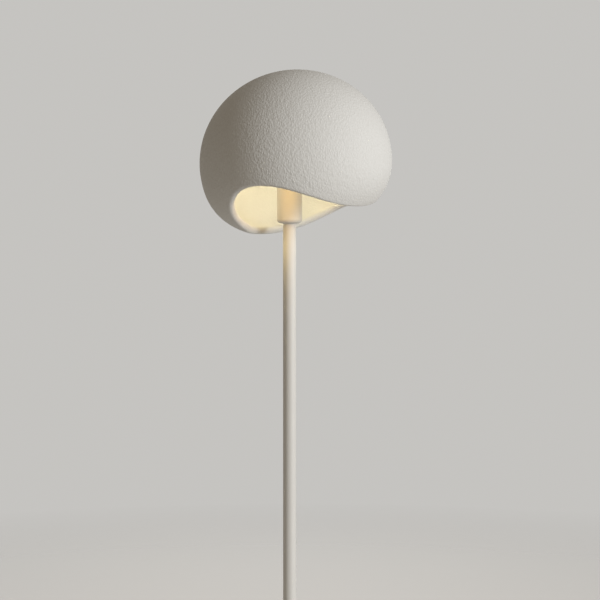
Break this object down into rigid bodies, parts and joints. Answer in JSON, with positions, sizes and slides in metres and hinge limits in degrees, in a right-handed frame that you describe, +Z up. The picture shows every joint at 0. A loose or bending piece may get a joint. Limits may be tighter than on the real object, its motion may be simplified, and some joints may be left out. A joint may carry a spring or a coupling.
{
  "type": "mushroom floor lamp",
  "caption": "Floor lamp with a thick leaning dome shade, open below along a wavy rim, on a slim straight pole and a round weighted base.",
  "frame": {"origin": "on the floor, at the pole's axis, in the middle of the base pad's underside", "axes": "+Z up along the pole, -Y is the front, which the shade's high rim faces, +X is to the right seen from the front"},
  "size_m": [0.3224, 0.3221, 1.4457],
  "materials": {
    "white_paint": "warm white powder coat, fine texture, satin",
    "shade_pulp": "off-white moulded pulp with a pebbled, matt skin",
    "cast_weight": "raw casting",
    "base_foam": "black closed-cell foam",
    "white_rubber": "matt",
    "plated_steel": "bright zinc plate",
    "holder_plastic": "fine moulded satin",
    "contact_ceramic": "unglazed",
    "contact_brass": "stamped, satin",
    "bulb_cap_metal": "rolled",
    "bulb_black": "gloss",
    "bulb_plastic": "smooth",
    "bulb_opal": "opal, lit from inside",
    "board_metal": "white solder mask"
  },
  "bodies": {
    "stand": {"base_pad": "base_foam", "base_weight": "cast_weight", "base_cover": "white_paint", "cord_inlet_bush": "white_rubber", "base_rod": "plated_steel", "base_washer": "plated_steel", "base_lock_washer": "plated_steel", "base_nut": "plated_steel", "lower_pole": "white_paint", "lower_pole_foot_insert": "plated_steel", "lower_pole_head_insert": "plated_steel", "pole_joint_rod": "plated_steel", "upper_pole": "white_paint", "upper_pole_foot_insert": "plated_steel", "upper_pole_head_insert": "plated_steel", "holder_rod": "plated_steel", "holder_cover": "white_paint", "holder_washer": "plated_steel", "holder_nut": "plated_steel", "holder_cap": "holder_plastic", "cap_lock_screw": "plated_steel", "holder_body": "holder_plastic", "contact_block": "contact_ceramic", "centre_contact": "contact_brass", "side_contact": "contact_brass", "screw_shell": "contact_brass", "terminal_screws": "contact_brass", "shade_ring": "holder_plastic"},
    "shade": {"shade_shell": "shade_pulp", "shade_carrier": "white_paint", "carrier_inserts": "contact_brass", "carrier_screws": "plated_steel"},
    "bulb": {"bulb_contact": "contact_brass", "bulb_insulator": "bulb_black", "bulb_cap": "bulb_cap_metal", "bulb_body": "bulb_plastic", "bulb_globe": "bulb_opal", "bulb_led_board": "board_metal"}
  },
  "joints": [
    {"name": "shade_turn", "type": "hinge", "parent": "stand", "child": "shade", "pos_m": [0, 0, 1.262], "axis": [0, 0, 1], "continuous": true},
    {"name": "bulb_lift", "type": "slide", "parent": "stand", "child": "bulb", "axis": [0, 0, 1], "range_m": [0, 0.03]}
  ]
}
